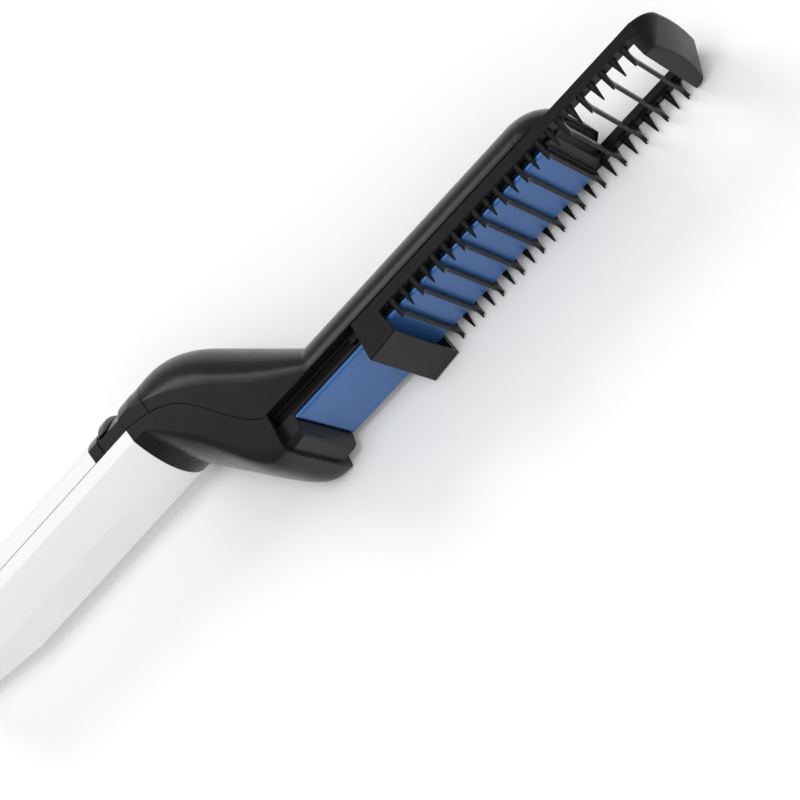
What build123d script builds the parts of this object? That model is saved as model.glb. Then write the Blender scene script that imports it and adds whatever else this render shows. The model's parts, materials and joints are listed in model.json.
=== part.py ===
from build123d import *
import math
import os

# A hot comb for hair and beard: a handle, a cranked neck, a heated head and a comb that slides over it.
# Millimetres. X runs from the cord inlet to the comb's tip, -Y is the way the teeth point, +Z is one side.
# The origin is on the handle's axis at its rear end. The tool lies on its -Z side.

# ---- handle ----
handle_length = 106.6
handle_half_width = 17.5
handle_depth = 12.9            # from the axis to the crown, front and back alike
side_band = 4.4                # half height of the flat band along each side
shell_wall = 2.2
end_wall = 2.6
taper_length = 32.8            # the front falls away towards the cord end over this length
taper_drop = 5.5
rating_flat_cut = 1.45         # depth of the bare flat along the handle's front
rating_flat_end = 91.2
rating_flat_runout = 11.2
seam_gap = 0.24                # open line between two housing shells
end_round = 2.2

# ---- switch ----
switch_length = 13.2           # from the switch's start to the handle's end
switch_bezel_step = 3.7        # length of the bezel that lies flush with the handle
slider_length = 4.2
slider_rise = 2.0              # how far its crown stands above the handle's
slider_half_width = 17.4
slider_foot = 5.4              # its lower edges end this far from the parting plane
slider_edge_round = 1.2
slider_travel = 4.3
slider_clear = 0.3
bezel_sink = 0.6               # how far the slider's track lies below the handle's surface
bezel_wall = 1.8
bezel_tuck = 2.0               # length of bezel that runs under its neighbours
tuck_clear = 0.15
stem_width = 4.0
stem_length = 2.8
lever_length = 1.2
lever_width = 2.0

# ---- neck ----
neck_length = 33.8             # from the handle's end to the front shell's end face
neck_knee = 4.4                # length of straight neck before it turns forward
neck_front_slope = 1.36
neck_back_slope = 1.04
neck_back_line = 35.5          # where the sloping back line crosses the axis
neck_back_crown = 13.8
neck_back_swell = 0.04
neck_crest_slope = 0.28
neck_shoulder = 0.2            # how far the front shell's end stands above the collar
cap_length = 8.8               # the separate cover behind the switch
neck_front_blend = 8.0         # reach of the bend from the front slope into the crest
neck_back_bend = 10.8          # reach of the bend from the back crown into the slope
neck_end_corner = 2.8          # depth of the front's rounded corners at the end face
neck_front_bulge = 5.0
neck_back_bulge = 7.0
neck_stations = 11
neck_screw_beyond = 15.5       # from the neck's start
neck_screw_sink = 9.0          # of its seat below the neck's crown
neck_screw_length = 18.0
seam_bends = [(9.0, -1.9), (15.6, -5.3), (22.2, -13.3)]     # from the neck's start, along X and Y
seam_runout = 0.4              # how far past the end face the seam reaches the rim
crown_steps = 12

# ---- head and heating plate ----
head_offset = 35.6             # from the handle's axis to the heating surface
head_half_width = 17.5
head_depth = 17.7              # from the heating surface to the back of the head
rim_drop = 6.0                 # from the heating surface to the rim of the back shell
plate_length = 97.4
plate_width = 28.6
plate_thickness = 1.2
plate_edge_round = 0.9
frame_top_drop = 1.7           # frame under the plate's rim
frame_half_width = 14.2
groove_half_width = 13.0
lip_thickness = 0.9
groove_height = 2.5
lower_lip_half_width = 14.2
block_length = 6.6
block_half_width = 14.3
block_height = 4.5
block_slope = 0.08
block_bevel = 1.6
block_chamfer = 1.9            # along its two long edges
block_crest_round = 1.0
plug_length = 2.6              # of the frame's end inside the front shell
nose_bar = 1.2
nose_length = 7.0
nose_step_drop = 1.6
nose_step_length = 2.8
nose_corner = 8.5
nose_round_length = 14.0
nose_taper = 0.42              # share of the width lost at the tip
nose_droop = 0.97              # share of the depth lost at the tip, squared
nose_tip_beyond = 1.0          # back shell's tip past the frame's nose
head_step = 0.04               # how much slimmer the straight back is than the neck's end
rim_ledge = 1.6                # thickness of the back shell's inward ledge under the frame
rim_ledge_half_width = 12.4
head_screw_gap = 6.0           # from the heater's ends to the head's screws
head_screw_length = 7.0
head_screw_sink = 4.2          # of its seat below the back's crown
plate_screw_inset = 5.0        # from the plate's ends
plate_screw_z = 8.0
web_drop = 1.6                 # of the frame's web below its top
web_thickness = 1.8
joint_slant = 9.0              # degrees, on the shell's end face and on the comb's collar

# ---- comb ----
pitch = 8.0
rib_count = 12
comb_shift = 34.0              # how far the comb is drawn off its seat
slide_clear = 0.3
rail_width = 2.9
rail_top_drop = 2.45
rail_bottom_drop = 5.7
tongue_reach = 1.3
tongue_beyond = 2.0            # how far the tongues stand out past the collar
collar_length = 10.1
collar_height = 5.8
collar_height_tip = 5.0
collar_wall = 0.95
first_rib = 14.4               # from the collar's handle end to the first rib
rib_thickness = 1.0
rib_clear = 0.35
rib_bend = 1.0
rib_top = 2.0
rib_flare = 3.4                # length over which a rib's end curves up into its tooth
rib_flare_rise = 0.9
tooth_tip = 3.4
tooth_base = 2.4
tooth_width = 2.0
tooth_tip_size = 0.45
long_tooth_tip = 3.5
long_tooth_rake = 0.45         # how far its tip leans back to the handle
cap_gap = 2.9                  # from the last rib to the tip cap
tip_cap_length = 9.3
tip_cap_height = 3.2
tip_cap_flat = 4.8             # length of its level front
tip_cap_flat_inset = 1.0       # of the level front's sides from the comb's
tip_cap_toe = 0.9              # upright part of the tip's end face
tip_cap_corner = 7.5
tip_cap_bow = 100.0            # radius of the end's slight curve
tip_flat_corner = 2.5
tip_flat_bow = 74.0
tip_cap_round = 0.8
tip_cap_wall = 1.8
tip_pocket_corner = 5.6
tip_cap_skin = 1.5             # thickness over the pocket

# ---- heater ----
heater_start = 20.0            # from the plate's lower end
heater_end = 13.4              # from the plate's upper end
ptc_count = 3
ptc_gap = 3.0
ptc_width = 14.0
ptc_thickness = 2.4
strip_tab = 1.8
strip_tab_width = 3.0
film_thickness = 0.2
strip_thickness = 0.4
clamp_thickness = 1.2
clamp_width = 22.0
clamp_screw_z = 9.2
clamp_screw_inset = 4.0
heater_screw_length = 3.6
fuse_from_heater = 14.0
clip_length = 5.0
heater_opening = 12.0          # half width of the frame's opening

# ---- fasteners and electrics ----
screw_shank = 0.95
screw_hole = 1.0
screw_head = 2.0
screw_head_height = 1.3
boss_radius = 2.9
housing_screw_shank = 1.3
housing_screw_hole = 1.35
housing_screw_head = 2.5
housing_screw_head_height = 1.8
counterbore = 2.8
housing_screw_beyond = 4.0     # from the end of the handle's taper
housing_screw_z = 6.0
housing_hole_depth = 7.0       # below the parting plane
screw_seat = 3.4               # of the handle's screws, above the parting plane
post_radius = 2.4
post_hole_depth = 7.0
board_post_inset = 3.5         # from the board's long edges
board_post_start = 4.0         # from the board's ends
board_post_end = 19.0
board_screw_length = 5.0
housing_screw_length = 8.0
plate_screw_length = 3.0
clamp_bar_screw_length = 7.0
board_thickness = 1.6
board_length = 54.0
board_width = 22.0
board_depth = 10.3             # from the handle's crown to the board's underside
board_beyond_handle = 2.4
capacitor_from_end = 10.0
capacitor_length = 13.0
capacitor_width = 5.5
board_part_height = 5.2
switch_body_length = 9.6
switch_body_width = 6.0
switch_body_height = 4.0
lead_radius = 0.7
lead_spacing = 10.4
lead_on_board = 8.0            # length that lies on the board
lead_dip = 6.0                 # level of the leads in the neck's bend, in front of the axis
lead_over_rim = 5.0            # level where they enter the head
lead_bends = [5.0, 12.0, 10.0]
fuse_z = 4.8
fuse_radius = 1.5
fuse_length = 11.0
fuse_wire = 6.0
fuse_wire_radius = 0.45
gland_bore = 2.9
gland_radius = 4.5
gland_flange = 5.6
gland_proud = 2.5
gland_inside = 12.0
clamp_bar_x = 20.0
clamp_bar_width = 6.0
clamp_bar_height = 3.0
clamp_bar_length = 24.0
clamp_post_z = 8.6

os.makedirs("parts", exist_ok=True)

# ---- places along X ----
neck_start = handle_length
switch_start = handle_length - switch_length
board_level = handle_depth - board_depth
heater_length = plate_length - heater_start - heater_end
shell_end = neck_start + neck_length
block_start = shell_end + 0.2
plate_start = block_start + block_length + 0.2
plate_end = plate_start + plate_length
nose_start = plate_end + nose_bar
nose_end = nose_start + nose_length
back_tip = nose_end + nose_tip_beyond
back_line_end = neck_start + neck_back_line + (head_offset - head_depth) / neck_back_slope
collar_start = shell_end + comb_shift
rib_start = collar_start + first_rib
tip_cap_start = rib_start + pitch * (rib_count - 1) + cap_gap
tip_cap_end = tip_cap_start + tip_cap_length
slider_start = switch_start + switch_bezel_step + 0.2
comb_side = head_half_width - rail_width


def at_height(h):
    """Y of a level h above the heating surface, counted the way the teeth point."""
    return -(head_offset + h)


def smooth_min(a, b, reach):
    """The lesser of two values, rounded where they are within reach of each other."""
    blend = max(reach - abs(a - b), 0) / reach
    return min(a, b) - blend * blend * reach / 4


def slant_shift(y):
    """How far a slanted end face moves along X between collar height and the level y."""
    return (y - at_height(collar_height)) * math.tan(math.radians(joint_slant))


def box(x0, x1, y0, y1, z0, z1):
    """A block between two corners, in any order."""
    size = (abs(x1 - x0), abs(y1 - y0), abs(z1 - z0))
    return Pos((x0 + x1) / 2, (y0 + y1) / 2, (z0 + z1) / 2) * Box(*size)


def rod_y(x, z, y0, y1, radius):
    """A cylinder along Y between two levels."""
    return Pos(x, (y0 + y1) / 2, z) * (Rot(90, 0, 0) * Cylinder(radius, abs(y1 - y0)))


def rod_x(x0, x1, y, z, radius):
    """A cylinder along X between two places."""
    return Pos((x0 + x1) / 2, y, z) * (Rot(0, 90, 0) * Cylinder(radius, abs(x1 - x0)))


def across(points, half_width):
    """A polygon in the XY plane, extruded to both sides."""
    face = make_face(Polyline(*[(x, y, 0) for x, y in points], close=True))
    return extrude(face, amount=half_width, both=True)


def export(node, shape):
    """One STEP file for one node."""
    solids = shape.solids()
    body = solids[0] if len(solids) == 1 else Compound(children=[Solid(s.wrapped) for s in solids])
    export_step(body, "parts/" + node + ".step")


# ---- cross-sections shared by the handle and the neck ----

def crown_points(half_width, band, crown, power, roundness):
    """Points over one crown, from the +Z side to the -Z side.
    roundness 1 is a circular arc that leaves a crease at the side band, 0 is a superellipse without one."""
    rise = crown - band
    radius = (half_width ** 2 + rise ** 2) / (2 * rise)
    points = []
    for i in range(crown_steps + 1):
        share = math.cos(math.pi * i / crown_steps)
        arc = math.sqrt(max(radius ** 2 - (half_width * share) ** 2, 0)) - (radius - rise)
        oval = rise * max(1 - abs(share) ** power, 0) ** (1 / power)
        points.append((band + roundness * arc + (1 - roundness) * oval, half_width * share))
    return points


def crown_edge(points):
    """A smooth edge over a crown, with the same parameters in every section."""
    shares = [i / crown_steps for i in range(crown_steps + 1)]
    return Edge.make_spline([Vector(*p) for p in points], parameters=shares)


def section(x, half_width, front, back):
    """A closed section at x. front and back are (band level, crown level, power, roundness)."""
    front_points = crown_points(half_width, -front[0], -front[1], front[2], front[3])
    back_points = crown_points(half_width, back[0], back[1], back[2], back[3])
    front_edge = crown_edge([(x, -y, z) for y, z in front_points])
    back_edge = crown_edge([(x, y, z) for y, z in reversed(back_points)])
    return closed_section(front_edge, back_edge)


def closed_section(front_edge, back_edge):
    """The wire of two crown edges and the straight sides between them."""
    side_low = Line(front_edge @ 1, back_edge @ 0)
    side_high = Line(back_edge @ 1, front_edge @ 0)
    return Wire([front_edge, side_low, back_edge, side_high])


def arc_section(x, half_width, front, back):
    """A closed section of two circular crowns. front and back are (band level, crown level)."""
    front_edge = ThreePointArc((x, front[0], half_width), (x, front[1], 0), (x, front[0], -half_width))
    back_edge = ThreePointArc((x, back[0], -half_width), (x, back[1], 0), (x, back[0], half_width))
    return closed_section(front_edge, back_edge)


def skin(wires, ruled=False):
    """A solid through closed wires."""
    return Part() + Solid.make_loft(wires, ruled)


def handle_section(x, inset=0.0):
    """The handle's section at x, shallower in front towards the cord end."""
    drop = taper_drop * max(taper_length - x, 0) / taper_length
    front_band = side_band * (1 - 0.35 * drop / taper_drop)
    front = (-front_band, -(handle_depth - inset - drop))
    back = (side_band, handle_depth - inset)
    return arc_section(x, handle_half_width - inset, front, back)


def neck_front(x):
    """Y of the neck's front line at x."""
    knee = neck_start + neck_knee
    sloping = handle_depth + neck_front_slope * max(x - knee, 0)
    crest = head_offset + collar_height + neck_shoulder + neck_crest_slope * max(shell_end - x, 0)
    return -smooth_min(sloping, crest, neck_front_blend)


def neck_back(x):
    """Y of the neck's back line at x, which meets the head's straight back in a crease."""
    crown = neck_back_crown + neck_back_swell * (x - neck_start)
    sloping = -neck_back_slope * (x - neck_start - neck_back_line)
    return max(smooth_min(crown, sloping, neck_back_bend), head_depth - head_offset)


def slope_stretch(line, x):
    """How much thicker along Y a wall is where its line slopes."""
    slope = line(x + 0.5) - line(x - 0.5)
    return math.sqrt(1 + slope * slope)


def neck_section(x, inset=0.0):
    """The neck's section at x, turning from the handle's arcs into the head's flat front and round back."""
    knee = neck_start + neck_knee
    run = min(max((x - knee) / (shell_end - knee), 0), 1)
    whole = min(max((x - knee) / (back_line_end - knee), 0), 1)
    half_width = handle_half_width + (head_half_width - handle_half_width) * min(run * 2, 1) - inset
    front = neck_front(x) + inset * slope_stretch(neck_front, x)
    back = neck_back(x) - inset * slope_stretch(neck_back, x)
    start_rise = handle_depth - side_band
    corner = start_rise + (neck_end_corner - start_rise) * run + neck_front_bulge * math.sin(math.pi * run)
    hollow = neck_back_crown - side_band
    hollow += (head_depth - rim_drop - hollow) * whole + neck_back_bulge * math.sin(math.pi * whole)
    front_shape = (neck_front(x) + corner, front, 2 + 3 * run * run, (1 - run) ** 2)
    back_shape = (neck_back(x) - hollow, back, 2, (1 - whole) ** 2)
    return section(x, half_width, front_shape, back_shape)


def neck_straight(inset=0.0):
    """The neck before its knee, as one solid."""
    return skin([neck_section(x, inset) for x in (neck_start, neck_start + neck_knee)], True)


def neck_cranked(inset=0.0):
    """The neck from its knee to where the head's straight back begins, as one solid."""
    knee = neck_start + neck_knee
    step = (back_line_end - knee) / (neck_stations - 1)
    return skin([neck_section(knee + step * i, inset) for i in range(neck_stations)])


def neck_body(inset=0.0):
    """The whole neck as one solid."""
    return neck_straight(inset) + neck_cranked(inset)


def trough_section(x, inset=0.0):
    """Half-oval section of the head's back at x, closed by a flat across the rim."""
    start = back_tip - nose_round_length
    run = max(x - start, 0) / nose_round_length
    shrink = math.sqrt(1 - run * run * nose_droop)
    plan = 1 - run ** 3 * nose_taper
    half_width = (head_half_width - head_step) * plan - inset
    depth = (head_depth - rim_drop - head_step) * shrink - inset
    rim = at_height(-rim_drop)
    low = rim - 6.0
    points = crown_points(half_width, 0.0, depth, 2, 0)
    back_edge = crown_edge([(x, rim + y, z) for y, z in points])
    far = Line(back_edge @ 1, (x, low, -half_width))
    top = Line(far @ 1, (x, low, half_width))
    near = Line(top @ 1, back_edge @ 0)
    return Wire([back_edge, far, top, near])


def trough_body(inset=0.0):
    """The head's back from the neck to its rounded tip."""
    start = back_line_end
    nose = back_tip - nose_round_length
    end = back_tip - inset
    straight = skin([trough_section(start, inset), trough_section(nose, inset)], True)
    stops = [nose + (end - nose) * math.sin(math.pi / 2 * i / 6) for i in range(7)]
    rounded = skin([trough_section(x, inset) for x in stops])
    return straight + rounded


# ---- where the housing parts ----

def seam_region(shift):
    """Everything behind the seam, from the handle's parting plane along the neck to the head's rim."""
    rim = at_height(-rim_drop)
    points = [(0.0, 0.0)] + seam_bends + [(neck_length + seam_runout, rim)]
    seam = Spline(*[(neck_start + x, y + shift, 0) for x, y in points])
    far = 400.0
    outline = Polyline(
        seam @ 1,
        (far, rim + shift, 0),
        (far, 60, 0),
        (-60, 60, 0),
        (-60, shift, 0),
        seam @ 0,
    )
    return extrude(make_face(Wire([seam] + list(outline.edges()))), amount=60, both=True)


def slanted_end(x, y0, y1, keep_low):
    """A block that ends in the slanted face through x at collar height."""
    far = -200 if keep_low else 400
    return across(
        [(x + slant_shift(y0), y0), (far, y0), (far, y1), (x + slant_shift(y1), y1)],
        60,
    )


# ---- screws ----

def screw(x, z, seat, length, shank, head, head_height, toward):
    """A pan-head screw along Y. seat is under its head, and toward is the way the shank points."""
    body = rod_y(x, z, seat, seat + toward * length, shank)
    top = seat - toward * head_height
    body += rod_y(x, z, seat, top, head)
    slot_floor = top + toward * head_height * 0.45
    for turn in (0, 90):
        bar = Rot(0, turn, 0) * Box(head * 1.3, abs(slot_floor - top), head * 0.28)
        body -= Pos(x, (slot_floor + top) / 2, z) * bar
    return body


def small_screw(x, z, seat, length, toward):
    return screw(x, z, seat, length, screw_shank, screw_head, screw_head_height, toward)


def housing_screw(x, z, seat, length):
    return screw(x, z, seat, length, housing_screw_shank, housing_screw_head, housing_screw_head_height, -1)


# ---- handle ----

def rating_flat():
    """The solid to remove for the bare flat along the handle's front."""
    level = -(handle_depth - rating_flat_cut)
    deep = -(handle_depth + 5)
    start = rating_flat_end - rating_flat_runout
    radius = (rating_flat_runout ** 2 + rating_flat_cut ** 2) / (2 * rating_flat_cut)
    runout = CenterArc((start, level - radius, 0), radius, 90, -math.degrees(
        math.asin(rating_flat_runout / radius)))
    lines = Polyline(
        runout @ 1,
        (rating_flat_end, deep, 0),
        (-10, deep, 0),
        (-10, level + taper_drop * (taper_length + 10) / taper_length, 0),
        (taper_length, level, 0),
        runout @ 0,
    )
    return extrude(make_face(Wire([runout] + list(lines.edges()))), amount=40, both=True)


def handle_solid(inset=0.0, start=0.0, end=handle_length):
    """The handle as one solid, from start to end."""
    stops = [start, taper_length, end] if start < taper_length < end else [start, end]
    return skin([handle_section(x, inset) for x in stops], True)


def handle_outer():
    """The handle's outside with its rear edges rounded and the rating flat cut."""
    body = handle_solid()
    rear = body.faces().sort_by(Axis.X)[0]
    body = fillet(rear.edges(), end_round)
    return body - rating_flat()


def handle_cavity():
    """The hollow inside both handle shells."""
    return handle_solid(shell_wall, end_wall, handle_length + 1)


clamp_bar_low = gland_bore + 0.2


def gland_hole():
    return rod_x(-1, end_wall + 1, 0, 0, gland_radius + 0.1)


housing_screw_x = taper_length + housing_screw_beyond
board_end = handle_length + board_beyond_handle
board_start = board_end - board_length
board_top = board_level + board_thickness
board_posts = [
    (x, side * (board_width / 2 - board_post_inset))
    for x in (board_start + board_post_start, board_end - board_post_end)
    for side in (-1, 1)
]


def front_shell():
    """The handle's front half, with posts for the board, the cord clamp and the housing screws."""
    body = handle_outer() - handle_cavity()
    body -= box(-5, handle_length + 5, -seam_gap / 2, 40, -40, 40)
    posts = []
    for x, z in board_posts:
        post = rod_y(x, z, -handle_depth, board_level, post_radius)
        posts.append(post - rod_y(x, z, board_level - post_hole_depth, board_level + 1, screw_hole))
    for z in (-clamp_post_z, clamp_post_z):
        post = rod_y(clamp_bar_x, z, -handle_depth, clamp_bar_low, post_radius)
        hole_end = clamp_bar_low - post_hole_depth
        posts.append(post - rod_y(clamp_bar_x, z, hole_end, clamp_bar_low + 1, screw_hole))
    for z in (-housing_screw_z, housing_screw_z):
        post = rod_y(housing_screw_x, z, -handle_depth, -seam_gap / 2, boss_radius)
        posts.append(post - rod_y(housing_screw_x, z, -housing_hole_depth, 1, housing_screw_hole))
    inside = handle_solid(shell_wall / 2, end_wall / 2, handle_length) - rating_flat()
    for post in posts:
        body += post & inside
    return body - gland_hole()


def back_shell():
    """The handle's back half, up to the switch, with two counterbored screw seats."""
    body = handle_outer() - handle_cavity()
    body &= box(-5, switch_start, seam_gap / 2, 40, -40, 40)
    inside = handle_solid(shell_wall / 2, end_wall / 2, handle_length)
    for z in (-housing_screw_z, housing_screw_z):
        body += rod_y(housing_screw_x, z, seam_gap / 2, handle_depth, boss_radius + 0.9) & inside
        body -= rod_y(housing_screw_x, z, screw_seat, 40, counterbore)
        body -= rod_y(housing_screw_x, z, -1, 40, housing_screw_hole + 0.15)
    return body - gland_hole()


# ---- cord inlet ----

def cord_gland():
    """A bush clamped in the handle's end wall, with a flange on each side of it."""
    body = rod_x(-gland_proud, gland_inside, 0, 0, gland_radius)
    outer_flange = rod_x(-gland_proud, -0.15, 0, 0, gland_flange)
    body += fillet(outer_flange.edges().sort_by(Axis.X)[0:1], 0.8)
    body += rod_x(end_wall + 0.15, end_wall + 2.2, 0, 0, gland_flange)
    return body - rod_x(-gland_proud - 1, gland_inside + 1, 0, 0, gland_bore)


def cord_clamp():
    """A bar that two screws pull down on the cord, with a rounded relief in its middle."""
    low = clamp_bar_low
    x0 = clamp_bar_x - clamp_bar_width / 2
    half = clamp_bar_length / 2
    body = box(x0, x0 + clamp_bar_width, low, low + clamp_bar_height, -half, half)
    body -= rod_x(x0 - 1, x0 + clamp_bar_width + 1, 0.8, 0, gland_bore + 0.6)
    for z in (-clamp_post_z, clamp_post_z):
        body -= rod_y(clamp_bar_x, z, low - 1, low + clamp_bar_height + 1, screw_hole + 0.15)
    return body


# ---- switch ----

def ring(start, end, outer_inset, inner_inset, floor):
    """The back half of the handle's section between two insets, above floor."""
    body = handle_solid(outer_inset, start, end) - handle_solid(inner_inset, start - 1, end + 1)
    return body & box(start - 1, end + 1, floor, 40, -40, 40)


def slider_slot(clear):
    """The slot that the slider's stem runs in, through the bezel's crown."""
    x0 = slider_start + (slider_length - stem_length) / 2 - clear
    x1 = x0 + stem_length + slider_travel + 2 * clear
    half = stem_width / 2 + clear
    return box(x0, x1, handle_depth - 8, handle_depth + 2, -half, half)


def switch_bezel():
    """The black saddle behind the switch: flush at the handle's side, sunk where the slider runs."""
    lip_end = switch_start + switch_bezel_step
    start = switch_start + seam_gap
    end = neck_start - seam_gap
    bezel_outside = shell_wall + tuck_clear
    bezel_inside = bezel_outside + bezel_wall
    body = ring(start, lip_end, 0.0, bezel_inside, seam_gap / 2)
    body += ring(lip_end, end, bezel_sink, bezel_inside, seam_gap / 2)
    tuck = ring(start - bezel_tuck, end + bezel_tuck, bezel_outside, bezel_inside, 2.0)
    return body + tuck - slider_slot(slider_clear)


def proud_section(x):
    """The slider's outer section, highest over the crown and fading into the handle's sides."""
    back = (side_band, handle_depth + slider_rise)
    return arc_section(x, slider_half_width, (-side_band, -handle_depth), back)


def switch_slider():
    """The thumb slider: a saddle that stands proud of the handle, with a stem down to the switch."""
    start = slider_start
    end = start + slider_length
    proud = skin([proud_section(start), proud_section(end)], True)
    rims = [e for e in proud.edges() if e.center().Y > side_band + 1
            and min(abs(e.center().X - start), abs(e.center().X - end)) < 0.01]
    body = fillet(rims, slider_edge_round) & box(start - 1, end + 1, slider_foot, 40, -40, 40)
    body -= handle_solid(bezel_sink - slider_clear, start - 1, end + 1)
    x0 = start + (slider_length - stem_length) / 2
    stem_low = board_top + switch_body_height + 0.4
    stem = box(x0, x0 + stem_length, stem_low, handle_depth - 0.1, -stem_width / 2, stem_width / 2)
    middle = start + slider_length / 2
    half = lever_length / 2 + 0.05
    fork = box(middle - half, middle + half, stem_low - 1, stem_low + 1.9, -stem_width, stem_width)
    return body + (stem - fork)


def switch_body():
    """The electrical slide switch on the board, with the slot that its lever runs in."""
    middle = slider_start + slider_length / 2 + slider_travel / 2
    x0 = middle - switch_body_length / 2
    top = board_top + switch_body_height
    half = switch_body_width / 2
    body = box(x0, x0 + switch_body_length, board_top, top, -half, half)
    reach = (slider_travel + lever_length) / 2 + slider_clear
    slot = lever_width / 2 + slider_clear
    return body - box(middle - reach, middle + reach, top - 2.4, top + 1, -slot, slot)


def switch_lever():
    """The switch's own lever, which stands in the fork of the slider's stem."""
    middle = slider_start + slider_length / 2
    top = board_top + switch_body_height
    half = lever_length / 2
    return box(middle - half, middle + half, top - 2.1, top + 1.9, -lever_width / 2, lever_width / 2)


def circuit_board():
    """The control board, drilled for its four screws."""
    body = box(board_start, board_end, board_level, board_top, -board_width / 2, board_width / 2)
    for x, z in board_posts:
        body -= rod_y(x, z, board_level - 1, board_top + 1, screw_hole + 0.15)
    return body


def board_parts():
    """The board's dropper capacitor, rectifier and timer chip."""
    x = board_start + capacitor_from_end
    x2 = x + capacitor_length + 3.0
    top = board_top + board_part_height
    capacitor = box(x, x + capacitor_length, board_top, top, -capacitor_width, 1.0)
    rectifier = box(x2, x2 + 5.0, board_top, board_top + 2.0, -4.5, 0.5)
    chip = box(x2, x2 + 6.0, board_top, board_top + 1.5, 2.5, 6.5)
    return Compound(children=[fillet(capacitor.edges().filter_by(Axis.Y), 0.6), rectifier, chip])


# ---- neck ----

neck_screw_x = neck_start + neck_screw_beyond
neck_seat = neck_back_crown - neck_screw_sink


def neck_shell_solid():
    """Both neck shells and the head's back as one hollow solid, with a ledge round the head's rim."""
    rim = at_height(-rim_drop)
    above_rim = slanted_end(shell_end, rim - 40, rim, False)
    straight = neck_straight() - neck_straight(shell_wall)
    cranked = neck_cranked() - neck_cranked(shell_wall)
    head = trough_body() - trough_body(shell_wall) - above_rim
    slab = box(shell_end + slant_shift(rim), nose_end - 5.0, rim, rim + rim_ledge, 0, head_half_width - 1.6)
    opening = box(0, 400, rim - 2, rim + 5, -1, rim_ledge_half_width)
    ledge = slab - opening
    return straight + (cranked - above_rim) + head + ledge + mirror(ledge, Plane.XY)


neck_shells = neck_shell_solid()
neck_mid_wall = neck_body(shell_wall / 2)


def neck_front_shell():
    """The neck's front shell, from the handle to the slanted end face."""
    body = neck_shells - seam_region(-seam_gap / 2)
    body &= box(neck_start, shell_end + 10, -60, 40, -40, 40)
    inside = (neck_mid_wall - seam_region(-seam_gap / 2)) & box(neck_start, shell_end - 2, -60, 40, -40, 40)
    body += rod_y(neck_screw_x, 0, -40, 20, boss_radius) & inside
    return body - rod_y(neck_screw_x, 0, -18, 10, housing_screw_hole)


def neck_back_shell():
    """The neck's back shell, one piece with the head's long back."""
    body = neck_shells & seam_region(seam_gap / 2)
    cap_end = neck_start + cap_length
    body -= box(0, cap_end + seam_gap / 2, -60, 60, -40, 40)
    inside = neck_mid_wall & seam_region(seam_gap / 2)
    body += rod_y(neck_screw_x, 0, -40, 20, boss_radius + 0.9) & inside
    body -= rod_y(neck_screw_x, 0, neck_seat, 40, counterbore)
    body -= rod_y(neck_screw_x, 0, -20, 40, housing_screw_hole + 0.15)
    floor = -(head_offset - head_depth) - shell_wall
    for x in head_screw_x:
        body += rod_y(x, 0, at_height(-rim_drop) + 3.4, floor + 1, boss_radius + 0.7)
        body -= rod_y(x, 0, head_seat, 40, counterbore)
        body -= rod_y(x, 0, -60, 40, housing_screw_hole + 0.15)
    return body


def neck_rear_cap():
    """The cover between the switch and the neck's back shell."""
    body = neck_shells & seam_region(seam_gap / 2)
    return body & box(neck_start, neck_start + cap_length - seam_gap / 2, -60, 60, -40, 40)


# ---- head ----

heater_x0 = plate_start + heater_start
heater_x1 = heater_x0 + heater_length
web_level = at_height(-(frame_top_drop + web_drop))
head_screw_x = [heater_x0 - head_screw_gap, heater_x1 + head_screw_gap]
head_seat = at_height(-head_depth) - head_screw_sink
plate_screw_places = [
    (x, z)
    for x in (plate_start + plate_screw_inset, plate_end - plate_screw_inset)
    for z in (-plate_screw_z, plate_screw_z)
]


def frame_profile():
    """Half the frame's section as (z, height) corners: lower lip, groove, upper lip."""
    low = -rim_drop
    groove_low = low + lip_thickness
    groove_high = groove_low + groove_height
    top = -frame_top_drop
    return [
        (lower_lip_half_width, low),
        (lower_lip_half_width, groove_low),
        (groove_half_width, groove_low),
        (groove_half_width, groove_high),
        (frame_half_width, groove_high),
        (frame_half_width, top),
    ]


def frame_bar(start, end):
    """The frame's long body between two places."""
    half = frame_profile()
    ring_points = half + [(-z, h) for z, h in reversed(half)]
    face = make_face(Polyline(*[(start, at_height(h), z) for z, h in ring_points], close=True))
    return extrude(face, amount=end - start, dir=(1, 0, 0))


def base_block():
    """The raised block at the plate's lower end, which the comb's collar slides over."""
    top_low = block_height
    top_high = block_height - block_slope * block_length
    body = across(
        [
            (shell_end + slant_shift(at_height(top_low)), at_height(top_low)),
            (block_start + block_length - block_bevel, at_height(top_high)),
            (block_start + block_length, at_height(-0.2)),
            (block_start + block_length, at_height(-rim_drop)),
            (shell_end + slant_shift(at_height(-rim_drop)), at_height(-rim_drop)),
        ],
        block_half_width,
    )
    crest = body.edges().filter_by(Axis.Z).group_by(Axis.Y)[0:2]
    body = fillet(crest[1], block_crest_round)
    return body - block_corner(1) - block_corner(-1)


def block_corner(side):
    """The wedge that bevels one long edge of the base block."""
    top = at_height(block_height)
    reach = block_chamfer + 2.0
    points = [(top - 2.0, block_half_width - reach), (top + reach, block_half_width + 2.0)]
    points.append((top - 2.0, block_half_width + 2.0))
    start = shell_end - plug_length
    face = make_face(Polyline(*[(start, y, side * z) for y, z in points], close=True))
    return extrude(face, amount=plate_start - start, dir=(1, 0, 0))


def block_tongue():
    """A plug behind the block that fills the front shell's end."""
    rim = at_height(-rim_drop)
    region = slanted_end(shell_end - plug_length, -60, rim, False) & slanted_end(shell_end, -60, rim, True)
    return neck_body(shell_wall + 0.1) & region


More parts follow.
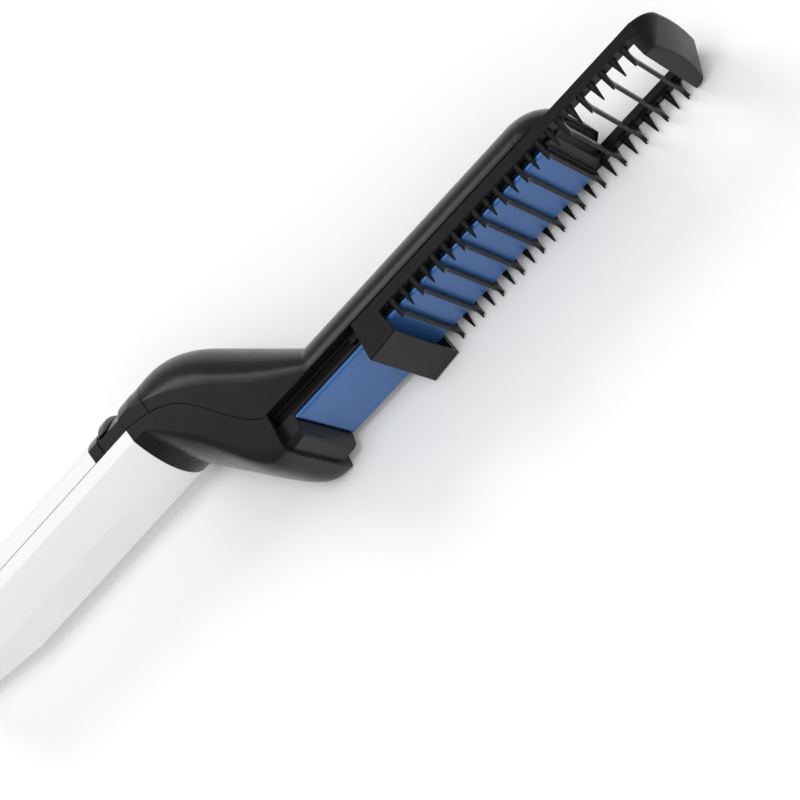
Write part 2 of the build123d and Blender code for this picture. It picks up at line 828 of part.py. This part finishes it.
def nose_block():
    """The stepped nose past the plate, over which the comb's tip cap closes."""
    step = at_height(-nose_step_drop)
    tip_level = at_height(-rim_drop + 0.9)
    half_way = nose_start + nose_step_length
    body = across(
        [
            (plate_end - 1.5, at_height(-frame_top_drop)),
            (plate_end + 0.15, at_height(-frame_top_drop)),
            (plate_end + 0.15, at_height(-0.1)),
            (nose_start, at_height(-0.1)),
            (nose_start, step),
            (half_way, step),
            (nose_end, tip_level),
            (nose_end, at_height(-rim_drop)),
            (plate_end - 1.5, at_height(-rim_drop)),
        ],
        frame_half_width,
    )
    return body & rounded_plan(nose_end, frame_half_width, nose_corner)


def comb_groove(side):
    """The groove along one side of the frame, which the comb's tongue slides in."""
    low = at_height(-rim_drop + lip_thickness)
    high = at_height(-rim_drop + lip_thickness + groove_height)
    return box(shell_end - 10, nose_end + 1, low, high, side * groove_half_width, side * 40)


def head_frame():
    """The black frame that carries the plate and the comb: block, grooved bar and nose in one moulding."""
    body = frame_bar(block_start + block_length - 1.0, plate_end + 0.15)
    opening_start = heater_x0 - 2.0
    opening_end = heater_x1 + 2.0
    under = at_height(-rim_drop) + 1
    body -= box(opening_start, opening_end, at_height(0), under, -heater_opening, heater_opening)
    for x0, x1 in ((plate_start + 1.5, opening_start - 2), (opening_end + 2, plate_end - 1.5)):
        body -= box(x0, x1, at_height(0), web_level, -heater_opening, heater_opening)
        body -= box(x0, x1, web_level + web_thickness, under, -heater_opening, heater_opening)
    body += base_block()
    body += nose_block()
    body = body + block_tongue() - comb_groove(1) - comb_groove(-1)
    for x in head_screw_x:
        body += rod_y(x, 0, web_level, at_height(-rim_drop) + 3.0, boss_radius)
        body -= rod_y(x, 0, web_level + 0.6, at_height(-rim_drop) + 4, housing_screw_hole)
    for x, z in plate_screw_places:
        body -= rod_y(x, z, web_level - 1, web_level + web_thickness + 1, screw_hole + 0.15)
    wire_way = box(block_start - 5, plate_start + 3.0, web_level + web_thickness, under, -9, 9)
    return body - wire_way


def heating_plate():
    """The blue plate: a pressed aluminium tray with rounded edges and bosses underneath."""
    under = at_height(-plate_thickness)
    body = box(plate_start, plate_end, at_height(0), under, -plate_width / 2, plate_width / 2)
    rim = [e for e in body.edges() if abs(e.center().Y - at_height(0)) < 0.01]
    body = fillet(rim, plate_edge_round)
    for x, z in plate_screw_places:
        body += rod_y(x, z, under, web_level - 0.1, 2.1)
        body -= rod_y(x, z, under + 0.3, web_level + 1, screw_hole)
    for x, z in clamp_screw_places:
        body += rod_y(x, z, under, clamp_level - 0.05, 1.9)
        body -= rod_y(x, z, under + 0.3, clamp_level + 1, screw_hole)
    return body


film_low = at_height(-plate_thickness)
ptc_low = film_low + film_thickness
stone_low = ptc_low + strip_thickness
strip_low = stone_low + ptc_thickness
sheet_low = strip_low + strip_thickness
clamp_level = sheet_low + film_thickness
clamp_screw_places = [
    (x, z)
    for x in (heater_x0 + clamp_screw_inset, heater_x1 - clamp_screw_inset)
    for z in (-clamp_screw_z, clamp_screw_z)
]


def film(low, half):
    """A thin insulating film over the heater's length."""
    return box(heater_x0, heater_x1, low, low + film_thickness, -half, half)


def ptc_heaters():
    """The ceramic heating stones in a row under the plate."""
    length = (heater_length - ptc_gap * (ptc_count - 1) - 4) / ptc_count
    stones = []
    for i in range(ptc_count):
        x0 = heater_x0 + 2 + i * (length + ptc_gap)
        stones.append(box(x0, x0 + length, stone_low, strip_low, -ptc_width / 2, ptc_width / 2))
    return Compound(children=stones)


def contact_strips():
    """The brass strips above and below the stones, each with a tab for its wire."""
    half = ptc_width / 2 - 1
    upper = box(heater_x0 + 1, heater_x1 - 1, ptc_low, stone_low, -half, half)
    upper += box(heater_x0 - strip_tab, heater_x0 + 2, ptc_low, stone_low, -half, strip_tab_width - half)
    lower = box(heater_x0 + 1, heater_x1 - 1, strip_low, sheet_low, -half, half)
    lower += box(heater_x1 - 2, heater_x1 + strip_tab, strip_low, sheet_low, half - strip_tab_width, half)
    return Compound(children=[Solid(upper.solid().wrapped), Solid(lower.solid().wrapped)])


def heater_clamp():
    """The aluminium plate that presses the stones against the heating plate."""
    half = clamp_width / 2
    body = box(heater_x0, heater_x1, clamp_level, clamp_level + clamp_thickness, -half, half)
    for x, z in clamp_screw_places:
        body -= rod_y(x, z, clamp_level - 1, clamp_level + 2, screw_hole + 0.15)
    return body


fuse_y = clamp_level + clamp_thickness + fuse_radius + 0.05
fuse_x = heater_x0 + fuse_from_heater


def thermal_fuse():
    """A fuse in its sleeve, lying on the clamp plate along the head."""
    body = rod_x(fuse_x, fuse_x + fuse_length, fuse_y, fuse_z, fuse_radius)
    start = fuse_x - fuse_wire
    return body + rod_x(start, fuse_x + fuse_length + fuse_wire, fuse_y, fuse_z, fuse_wire_radius)


def fuse_clip():
    """The spring clip that holds the fuse down on the clamp plate."""
    y0 = clamp_level + clamp_thickness
    x0 = fuse_x + (fuse_length - clip_length) / 2
    x1 = x0 + clip_length
    half = fuse_radius + 0.7
    body = box(x0, x1, y0, fuse_y + half, fuse_z - half, fuse_z + half)
    body -= rod_x(x0 - 1, x1 + 1, fuse_y, fuse_z, fuse_radius + 0.1)
    mouth = fuse_radius - 0.3
    return body - box(x0 - 1, x1 + 1, y0 - 1, fuse_y, fuse_z - mouth, fuse_z + mouth)


def wire(points, radii):
    """One insulated wire along points with rounded bends."""
    path = FilletPolyline(*points, radius=radii)
    return sweep(Plane(origin=path @ 0, z_dir=path % 0) * Circle(lead_radius), path=path)


def board_lead(z, last_points, last_radii):
    """A wire from the board through the neck, ending in its own last points."""
    rim = at_height(-rim_drop)
    points = [
        (board_end - lead_on_board, board_top + lead_radius + 0.05, z),
        (board_end + 1.6, board_top + lead_radius + 0.05, z),
        (neck_start + neck_length / 2 - 0.9, -lead_dip, z),
        (shell_end + 2.2, rim + lead_over_rim, z),
    ]
    return wire(points + last_points, lead_bends + last_radii)


def live_lead():
    """The wire from the board to the thermal fuse."""
    return board_lead(lead_spacing / 2, [
        (heater_x0 - 12.0, at_height(-rim_drop) + 4.2, fuse_z),
        (heater_x0 - 3.0, fuse_y, fuse_z),
        (fuse_x - fuse_wire, fuse_y, fuse_z),
    ], [8.0, 6.0])


def neutral_lead():
    """The wire from the board to the upper contact strip."""
    x = heater_x0 - strip_tab / 2 - 0.2
    z = -(ptc_width / 2 - 1 - strip_tab_width / 2)
    return board_lead(-lead_spacing / 2, [
        (x, at_height(-rim_drop) + 4.2, z),
        (x, stone_low, z),
    ], [2.0])


def fuse_lead():
    """The wire from the fuse to the lower contact strip."""
    x = heater_x1 + strip_tab / 2 + 0.2
    return wire([
        (fuse_x + fuse_length + fuse_wire, fuse_y, fuse_z),
        (x, fuse_y, fuse_z),
        (x, sheet_low, fuse_z),
    ], [1.0])


# ---- comb ----

def rail(side):
    """One side rail of the comb, with an inward tongue that stands out past the collar."""
    low = at_height(-rail_bottom_drop)
    high = at_height(-rail_top_drop)
    start = collar_start + slant_shift(low)
    end = tip_cap_start + 3.0
    groove_low = at_height(-rim_drop + lip_thickness)
    tongue_low = groove_low - slide_clear
    tongue_high = groove_low - groove_height + slide_clear
    tongue_start = collar_start - tongue_beyond
    bar = box(start, end, low, high, side * comb_side, side * head_half_width)
    tongue_end = comb_side - tongue_reach
    return bar + box(tongue_start, end, tongue_low, tongue_high, side * tongue_end, side * (comb_side + 0.5))


def collar():
    """The band across the front at the comb's handle end, open at the back."""
    low = at_height(-rail_bottom_drop)
    front = [
        (collar_start, at_height(collar_height)),
        (collar_start + collar_length, at_height(collar_height_tip)),
    ]
    foot = [(collar_start + collar_length, low), (collar_start + slant_shift(low), low)]
    body = across(front + foot, head_half_width)
    crest = [e for e in body.edges() if e.center().Y < at_height(collar_height_tip - 0.8)
             and abs(abs(e.center().Z) - head_half_width) < 0.01]
    body = fillet(crest, 0.9)
    inner = [(x + (i * 2 - 1) * 3, y + collar_wall) for i, (x, y) in enumerate(front)]
    inner += [(collar_start + collar_length + 3, low + 2), (collar_start - 3, low + 2)]
    return body - across(inner, comb_side)


def spike(x, z, tip, rake):
    """A pointed tooth that stands on the rail, flattened across the comb. rake is its tip's lean along X."""
    foot = Ellipse(tooth_base / 2, tooth_width / 2)
    point = Circle(tooth_tip_size / 2)
    low = -rail_top_drop - 0.6
    base_plane = Plane(origin=(x, at_height(low), z), x_dir=(1, 0, 0), z_dir=(0, -1, 0))
    tip_plane = Plane(origin=(x - rake, at_height(tip), z), x_dir=(1, 0, 0), z_dir=(0, -1, 0))
    return loft([base_plane * foot, tip_plane * point])


def rib_outline():
    """The rib seen along the comb: an arch from rail to rail whose ends curve up into the teeth."""
    out = head_half_width - 0.3
    inner = comb_side + 0.1
    foot = -rail_top_drop - 0.4
    bend = rib_bend
    shoulder = (out - 0.8, rib_top + rib_flare_rise)
    flat = (out - 0.8 - rib_flare, rib_top)
    right_side = Line((out, foot), shoulder)
    right_flare = TangentArc(flat, shoulder, tangent=(1, 0))
    top = Line(flat, (-flat[0], flat[1]))
    left_flare = TangentArc((-flat[0], flat[1]), (-shoulder[0], shoulder[1]), tangent=(-1, 0))
    left_side = Line((-shoulder[0], shoulder[1]), (-out, foot))
    left = Polyline((-out, foot), (-inner, foot), (-inner, rib_clear - bend))
    left_bend = ThreePointArc(
        left @ 1,
        (-inner + bend * 0.29, rib_clear - bend * 0.29),
        (-inner + bend, rib_clear),
    )
    under = Line(left_bend @ 1, (inner - bend, rib_clear))
    right_bend = ThreePointArc(
        under @ 1,
        (inner - bend * 0.29, rib_clear - bend * 0.29),
        (inner, rib_clear - bend),
    )
    right = Polyline(right_bend @ 1, (inner, foot), (out, foot))
    parts = (right_side, right_flare, top, left_flare, left_side, left, left_bend, under, right_bend, right)
    return make_face(Wire([e for part in parts for e in part.edges()]))


def rib_bar(x):
    """One full rib, centred at x."""
    plane = Plane(origin=(x - rib_thickness / 2, at_height(0), 0), x_dir=(0, 0, 1), z_dir=(1, 0, 0))
    return plane * extrude(rib_outline(), amount=rib_thickness)


def rounded_plan(end, half_width, corner):
    """A tall prism that ends at end with rounded corners, seen along Y."""
    plan = Pos(end - 30, 0) * Rectangle(60, 2 * half_width)
    corners = plan.vertices().group_by(Axis.X)[-1]
    return Pos(0, 20, 0) * (Rot(90, 0, 0) * extrude(fillet(corners, corner), amount=100))


def cap_outline(y, end, half_width, corner, bow):
    """The tip's outline at level y: straight sides, rounded corners and an end that bows outwards."""
    reach = math.sqrt((bow - corner) ** 2 - (half_width - corner) ** 2)
    middle = end - bow
    corner_x = middle + reach
    corner_z = half_width - corner
    share = bow / (bow - corner)
    join = (middle + reach * share, y, corner_z * share)
    diagonal = math.radians(45)
    bend = (corner_x + corner * math.cos(diagonal), y, corner_z + corner * math.sin(diagonal))

    def mirrored(point):
        return (point[0], point[1], -point[2])

    first = (tip_cap_start, y, half_width)
    root = (corner_x, y, half_width)
    return Wire([
        Line(first, root),
        ThreePointArc(root, bend, join),
        ThreePointArc(join, (end, y, 0), mirrored(join)),
        ThreePointArc(mirrored(join), mirrored(bend), mirrored(root)),
        Line(mirrored(root), mirrored(first)),
        Line(mirrored(first), first),
    ])


def cap_body(low, front, end_gap, half_width, front_half_width, corner, front_corner):
    """The tip's bevelled form from the level low to the level front, its end end_gap within the comb's."""
    toe = at_height(-rail_bottom_drop) - tip_cap_toe
    slope = (tip_cap_length - tip_cap_flat) / (toe - at_height(tip_cap_height))
    end = tip_cap_end - end_gap
    front_end = end - slope * (toe - front)
    foot = cap_outline(low, end, half_width, corner, tip_cap_bow)
    foot_top = cap_outline(toe, end, half_width, corner, tip_cap_bow)
    crest = cap_outline(front, front_end, front_half_width, front_corner, tip_flat_bow)
    return skin([foot, foot_top], True) + skin([foot_top, crest], True)


def tip_cap():
    """The bevelled cap across the comb's tip, hollow behind so that the head's nose can enter."""
    low = at_height(-rail_bottom_drop)
    front = at_height(tip_cap_height)
    front_half_width = head_half_width - tip_cap_flat_inset
    body = cap_body(low, front, 0.0, head_half_width, front_half_width, tip_cap_corner, tip_flat_corner)
    rims = [e for e in body.edges() if e.center().X > tip_cap_start + 0.5 and e.center().Y < front + 0.01]
    body = fillet(rims, tip_cap_round)
    roof = front + tip_cap_skin
    corners = (tip_pocket_corner, tip_flat_corner)
    return body - cap_body(low + 1, roof, tip_cap_wall, comb_side, comb_side, *corners)


def comb_attachment():
    """The whole comb in one moulding: collar, rails, ribs, teeth and tip cap."""
    body = collar() + rail(1) + rail(-1) + tip_cap()
    tooth_line = head_half_width - tooth_width / 2 - 0.25
    for i in range(rib_count):
        x = rib_start + pitch * i
        body += rib_bar(x)
        for side in (1, -1):
            body += spike(x, side * tooth_line, long_tooth_tip, long_tooth_rake)
            if i < rib_count - 1:
                body += spike(x + pitch / 2, side * tooth_line, tooth_tip, 0.0)
    return body


# ---- fastener groups ----

def handle_screws():
    return Compound(children=[
        housing_screw(housing_screw_x, z, screw_seat, housing_screw_length)
        for z in (-housing_screw_z, housing_screw_z)])


def neck_screw():
    return housing_screw(neck_screw_x, 0, neck_seat, neck_screw_length)


def head_screws():
    return Compound(children=[housing_screw(x, 0, head_seat, head_screw_length) for x in head_screw_x])


def board_screws():
    return Compound(children=[small_screw(x, z, board_top, board_screw_length, -1) for x, z in board_posts])


def clamp_bar_screws():
    seat = clamp_bar_low + clamp_bar_height
    return Compound(children=[
        small_screw(clamp_bar_x, z, seat, clamp_bar_screw_length, -1) for z in (-clamp_post_z, clamp_post_z)])


def plate_screws():
    seat = web_level + web_thickness
    return Compound(children=[small_screw(x, z, seat, plate_screw_length, -1) for x, z in plate_screw_places])


def heater_screws():
    seat = clamp_level + clamp_thickness
    return Compound(children=[
        small_screw(x, z, seat, heater_screw_length, -1) for x, z in clamp_screw_places])


export("handle_front_shell", front_shell())
export("handle_back_shell", back_shell())
export("cord_gland", cord_gland())
export("cord_clamp", cord_clamp())
export("cord_clamp_screws", clamp_bar_screws())
export("switch_bezel", switch_bezel())
export("switch_slider", switch_slider())
export("switch_body", switch_body())
export("switch_lever", switch_lever())
export("circuit_board", circuit_board())
export("board_components", board_parts())
export("board_screws", board_screws())
export("handle_screws", handle_screws())
export("neck_front_shell", neck_front_shell())
export("neck_back_shell", neck_back_shell())
export("neck_rear_cap", neck_rear_cap())
export("neck_screw", neck_screw())
export("head_frame", head_frame())
export("head_screws", head_screws())
export("heating_plate", heating_plate())
export("plate_screws", plate_screws())
export("plate_film", film(film_low, ptc_width / 2 + 0.2))
export("ptc_heaters", ptc_heaters())
export("contact_strips", contact_strips())
export("insulation_sheet", film(sheet_low, clamp_screw_z - 2.2))
export("heater_clamp", heater_clamp())
export("heater_screws", heater_screws())
export("thermal_fuse", thermal_fuse())
export("fuse_clip", fuse_clip())
export("live_lead", live_lead())
export("neutral_lead", neutral_lead())
export("fuse_lead", fuse_lead())
export("comb_attachment", comb_attachment())
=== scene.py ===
import json

import bpy
from mathutils import Matrix, Vector


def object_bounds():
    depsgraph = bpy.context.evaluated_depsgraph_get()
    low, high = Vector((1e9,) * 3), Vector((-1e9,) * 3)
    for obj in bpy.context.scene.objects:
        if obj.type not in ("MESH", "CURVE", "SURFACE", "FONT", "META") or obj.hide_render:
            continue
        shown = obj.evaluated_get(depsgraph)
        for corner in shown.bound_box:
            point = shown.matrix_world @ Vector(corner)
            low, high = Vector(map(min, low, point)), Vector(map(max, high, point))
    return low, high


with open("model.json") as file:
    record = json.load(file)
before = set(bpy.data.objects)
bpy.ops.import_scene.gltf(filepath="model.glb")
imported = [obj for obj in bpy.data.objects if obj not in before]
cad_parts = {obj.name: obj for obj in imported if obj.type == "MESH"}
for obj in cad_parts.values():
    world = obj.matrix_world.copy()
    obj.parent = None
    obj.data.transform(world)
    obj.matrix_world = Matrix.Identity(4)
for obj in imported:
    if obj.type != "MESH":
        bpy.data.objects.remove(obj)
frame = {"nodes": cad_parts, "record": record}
nodes = frame["nodes"]
cad_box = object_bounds()

# A hot comb: white handle, black neck, blue heating plate and a black sliding comb, on a pale floor.
# Metres, in the model's own frame: +X to the comb's tip, -Y the way the teeth point, +Z up from the floor.
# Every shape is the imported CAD. This script adds the materials, the floor, the lamps and the camera.

# ---- camera, as fitted to the comb's equally spaced ribs ----
camera_place = Vector((0.3425, -0.3377, 0.5441))
camera_right = Vector((0.6591, -0.5547, -0.5078))
camera_up = Vector((0.7014, 0.6971, 0.1487))
camera_back = Vector((0.2715, -0.4542, 0.8485))
camera_lens = 108.65           # millimetres, as is the sensor's width
camera_sensor = 36.0
camera_near = 0.01

# ---- light ----
sky_strength = 0.60

# Each lamp's name, place, width and length, and power in watts.
lamps = (
    ("key", (-0.20, 0.92, 0.80), (0.6, 0.4), 4.0),     # behind, for the soft highlight along the round back
    ("top", (0.14, -0.10, 1.30), (0.5, 0.5), 5.0),
    ("fill", (0.60, -0.90, 0.60), (0.8, 0.8), 2.2),    # in front, on the teeth's side
)

# ---- floor ----
floor_size = 6.0
floor_white = 0.97
floor_roughness = 0.9
floor_specular = 0.1


# ---- materials ----

class Nodes:
    """A material's node tree, with short calls to add and join its nodes."""

    def __init__(self, name):
        self.material = bpy.data.materials.new(name)
        self.material.use_nodes = True
        self.tree = self.material.node_tree
        self.shader = self.tree.nodes["Principled BSDF"]
        self.place = self.tree.nodes.new("ShaderNodeTexCoord").outputs["Object"]

    def set(self, **values):
        """Sets sockets of the shader that are the same all over."""
        for name, value in values.items():
            self.shader.inputs[name.replace("_", " ")].default_value = value

    def join(self, source, name):
        """Joins a node's output to the shader's socket of this name."""
        self.tree.links.new(source, self.shader.inputs[name])

    def noise(self, size, detail=2.0, roughness=0.5, stretch=(1, 1, 1)):
        """Noise whose blotches measure about size metres. Its value lies around 0.5."""
        mapping = self.tree.nodes.new("ShaderNodeMapping")
        mapping.inputs["Scale"].default_value = stretch
        self.tree.links.new(self.place, mapping.inputs["Vector"])
        node = self.tree.nodes.new("ShaderNodeTexNoise")
        node.inputs["Scale"].default_value = 1 / size
        node.inputs["Detail"].default_value = detail
        node.inputs["Roughness"].default_value = roughness
        self.tree.links.new(mapping.outputs["Vector"], node.inputs["Vector"])
        return node.outputs["Fac"]

    def grains(self, size):
        """Cells about size metres across, as a value from 0 at a cell's middle."""
        node = self.tree.nodes.new("ShaderNodeTexVoronoi")
        node.inputs["Scale"].default_value = 1 / size
        self.tree.links.new(self.place, node.inputs["Vector"])
        return node.outputs["Distance"]

    def spread(self, value, low, high, start=0.3, end=0.7):
        """Maps start to end of a value onto low to high."""
        node = self.tree.nodes.new("ShaderNodeMapRange")
        node.inputs["From Min"].default_value = start
        node.inputs["From Max"].default_value = end
        node.inputs["To Min"].default_value = low
        node.inputs["To Max"].default_value = high
        self.tree.links.new(value, node.inputs["Value"])
        return node.outputs["Result"]

    def ramp(self, value, dark, light, start=0.3, end=0.7):
        """A colour between two, by a value."""
        node = self.tree.nodes.new("ShaderNodeValToRGB")
        node.color_ramp.elements[0].position = start
        node.color_ramp.elements[0].color = (*dark, 1)
        node.color_ramp.elements[1].position = end
        node.color_ramp.elements[1].color = (*light, 1)
        self.tree.links.new(value, node.inputs["Fac"])
        return node.outputs["Color"]

    def rounded(self, radius):
        """Normals as if the edges had this radius."""
        node = self.tree.nodes.new("ShaderNodeBevel")
        node.samples = 4
        node.inputs["Radius"].default_value = radius
        return node.outputs["Normal"]

    def bump(self, height, depth, normal=None):
        """Bump of this depth in metres, on top of other normals."""
        node = self.tree.nodes.new("ShaderNodeBump")
        node.inputs["Strength"].default_value = 1.0
        node.inputs["Distance"].default_value = depth
        self.tree.links.new(height, node.inputs["Height"])
        if normal is not None:
            self.tree.links.new(normal, node.inputs["Normal"])
        return node.outputs["Normal"]


def shade(color, factor):
    """The colour, made lighter or darker by a factor."""
    return tuple(value * factor for value in color)


def moulded(name, color, roughness, grain, depth, edge, vary=0.05, roughness_vary=0.03):
    """Moulded plastic: a grain of its mould, slow changes of colour and gloss, and softened edges.

    grain is the size of the mould's grain, depth its depth and edge the radius at the edges, in metres.
    vary is the share by which the colour changes, and roughness_vary the roughness's step.
    """
    n = Nodes(name)
    slow = n.noise(0.03, detail=3.0)
    fine = n.noise(grain)
    n.join(n.ramp(slow, shade(color, 1 - vary), shade(color, 1 + vary)), "Base Color")
    patches = n.noise(0.006, detail=4.0)
    n.join(n.spread(patches, roughness - roughness_vary, roughness + roughness_vary), "Roughness")
    n.join(n.bump(fine, depth, n.rounded(edge)), "Normal")
    return n


def white_shell():
    """The handle's satin white, with a grain that hardly shows."""
    return moulded("white_shell", (0.83, 0.83, 0.835), roughness=0.38, grain=0.0009, depth=0.0000012,
                   edge=0.0004, vary=0.008, roughness_vary=0.012).material


def black_shell():
    """The neck's glossy black."""
    n = moulded("black_shell", (0.006, 0.006, 0.0062), roughness=0.27, grain=0.0004, depth=0.000004,
                edge=0.0004, vary=0.1, roughness_vary=0.02)
    n.set(Specular_IOR_Level=0.2)
    return n.material


def black_frame():
    """The head frame's black."""
    n = moulded("black_frame", (0.004, 0.004, 0.0042), roughness=0.3, grain=0.0003, depth=0.000004,
                edge=0.0003, vary=0.1)
    n.set(Specular_IOR_Level=0.25)
    return n.material


def black_comb():
    """The comb's black, a little duller than the neck's."""
    n = moulded("black_comb", (0.006, 0.006, 0.0062), roughness=0.32, grain=0.0003, depth=0.000004,
                edge=0.00022, vary=0.1)
    n.set(Specular_IOR_Level=0.17)
    return n.material


def blue_plate():
    """Blue enamel over aluminium, with a fine sprayed texture."""
    n = Nodes("blue_plate")
    color = (0.027, 0.118, 0.335)
    n.join(n.ramp(n.noise(0.02, detail=3.0), shade(color, 0.95), shade(color, 1.05)), "Base Color")
    n.join(n.spread(n.noise(0.004, detail=3.0), 0.30, 0.38), "Roughness")
    n.join(n.bump(n.noise(0.00035, detail=1.0), 0.000004, n.rounded(0.0002)), "Normal")
    n.set(Metallic=0.45, Coat_Weight=0.2, Coat_Roughness=0.15)
    return n.material


def drawn_metal(name, color, roughness):
    """Metal with fine lines along X and faint stains."""
    n = Nodes(name)
    lines = n.noise(0.0004, roughness=0.6, stretch=(0.05, 1, 1))
    n.join(n.ramp(n.noise(0.004, detail=3.0), shade(color, 0.88), color), "Base Color")
    n.join(n.spread(lines, roughness - 0.08, roughness + 0.08), "Roughness")
    n.join(n.bump(lines, 0.000003, n.rounded(0.0001)), "Normal")
    n.set(Metallic=1.0)
    return n.material


def steel():
    return drawn_metal("steel", (0.60, 0.60, 0.62), 0.3)


def clamp_alloy():
    return drawn_metal("clamp_alloy", (0.75, 0.75, 0.77), 0.42)


def strip_brass():
    return drawn_metal("strip_brass", (0.75, 0.58, 0.26), 0.32)


def ceramic():
    """Sintered stone, pitted and slightly speckled."""
    n = Nodes("ceramic")
    pits = n.grains(0.0004)
    n.join(n.ramp(n.noise(0.0006, detail=3.0), (0.36, 0.34, 0.31), (0.52, 0.50, 0.46)), "Base Color")
    n.join(n.spread(pits, 0.6, 0.85, start=0.1, end=0.6), "Roughness")
    n.join(n.bump(pits, 0.00003), "Normal")
    return n.material


def film_amber():
    """Thin amber insulating film with faint ripples."""
    n = Nodes("film_amber")
    n.join(n.ramp(n.noise(0.006), (0.50, 0.25, 0.035), (0.66, 0.38, 0.08)), "Base Color")
    n.join(n.spread(n.noise(0.002), 0.15, 0.3), "Roughness")
    n.join(n.bump(n.noise(0.008), 0.0001), "Normal")
    n.set(Coat_Weight=0.5)
    return n.material


def board_green():
    """Solder-resist green over copper tracks."""
    n = Nodes("board_green")
    tracks = n.noise(0.003, detail=0.0, stretch=(0.35, 1, 1))
    n.join(n.ramp(tracks, (0.02, 0.12, 0.05), (0.05, 0.24, 0.10), start=0.48, end=0.5), "Base Color")
    n.join(n.spread(n.noise(0.003, detail=3.0), 0.28, 0.4), "Roughness")
    n.join(n.bump(n.spread(tracks, 0.0, 1.0, start=0.48, end=0.5), 0.00003), "Normal")
    return n.material


def gland_rubber():
    """Dull rubber with a fine bloom."""
    n = moulded("gland_rubber", (0.022, 0.022, 0.023), roughness=0.7, grain=0.0004, depth=0.00002,
                edge=0.0003, vary=0.2)
    n.set(Specular_IOR_Level=0.35)
    return n.material


def small_moulding(name, color, roughness):
    """The plastic of the small parts inside."""
    return moulded(name, color, roughness, grain=0.0005, depth=0.00001, edge=0.0001).material


def component_black():
    return small_moulding("component_black", (0.035, 0.035, 0.038), 0.5)


def wire_red():
    return small_moulding("wire_red", (0.50, 0.03, 0.025), 0.38)


def wire_white():
    return small_moulding("wire_white", (0.78, 0.78, 0.75), 0.38)


# The function that makes each of the record's material slots.
makers = {
    "white_shell": white_shell,
    "black_shell": black_shell,
    "black_frame": black_frame,
    "black_comb": black_comb,
    "blue_plate": blue_plate,
    "steel": steel,
    "clamp_alloy": clamp_alloy,
    "strip_brass": strip_brass,
    "ceramic": ceramic,
    "film_amber": film_amber,
    "board_green": board_green,
    "component_black": component_black,
    "gland_rubber": gland_rubber,
    "wire_red": wire_red,
    "wire_white": wire_white,
}


def dress_nodes():
    """Gives every node the material of its slot in the record."""
    made = {}
    for part in frame["record"]["subparts"]:
        slot = part["material_slot"]
        if slot not in made:
            made[slot] = makers[slot]()
        node = nodes[part["node"]]
        node.data.materials.clear()
        node.data.materials.append(made[slot])


# ---- stage ----

def studio_floor():
    """A plain pale floor under the lowest point."""
    low = cad_box[0][2]
    half = floor_size / 2
    corners = [(-half, -half, low), (half, -half, low), (half, half, low), (-half, half, low)]
    mesh = bpy.data.meshes.new("floor")
    mesh.from_pydata(corners, [], [(0, 1, 2, 3)])
    floor = bpy.data.objects.new("floor", mesh)
    bpy.context.scene.collection.objects.link(floor)
    n = Nodes("floor")
    n.set(Base_Color=(floor_white, floor_white, floor_white, 1))
    n.set(Roughness=floor_roughness, Specular_IOR_Level=floor_specular)
    mesh.materials.append(n.material)


def area_lamp(name, place, size, power):
    """A soft box that looks at the middle of the object."""
    light = bpy.data.lights.new(name, "AREA")
    light.shape = "RECTANGLE"
    light.size, light.size_y = size
    light.energy = power
    lamp = bpy.data.objects.new(name, light)
    bpy.context.scene.collection.objects.link(lamp)
    middle = (Vector(cad_box[0]) + Vector(cad_box[1])) / 2
    direction = middle - Vector(place)
    lamp.location = place
    lamp.rotation_euler = direction.to_track_quat("-Z", "Y").to_euler()


def studio_light():
    """A white sky all round, and the soft boxes."""
    world = bpy.data.worlds.new("studio")
    bpy.context.scene.world = world
    world.use_nodes = True
    sky = world.node_tree.nodes["Background"]
    sky.inputs["Color"].default_value = (1, 1, 1, 1)
    sky.inputs["Strength"].default_value = sky_strength
    for name, place, size, power in lamps:
        area_lamp(name, place, size, power)


def studio_camera():
    """The camera, at the fitted place and angle."""
    data = bpy.data.cameras.new("camera")
    data.sensor_width = camera_sensor
    data.lens = camera_lens
    data.clip_start = camera_near
    data.dof.use_dof = False
    camera = bpy.data.objects.new("camera", data)
    turn = Matrix((camera_right, camera_up, camera_back)).transposed()
    camera.matrix_world = Matrix.Translation(camera_place) @ turn.to_4x4()
    bpy.context.scene.collection.objects.link(camera)
    bpy.context.scene.camera = camera


dress_nodes()
studio_floor()
studio_light()
studio_camera()
bpy.context.scene.view_settings.view_transform = "Standard"
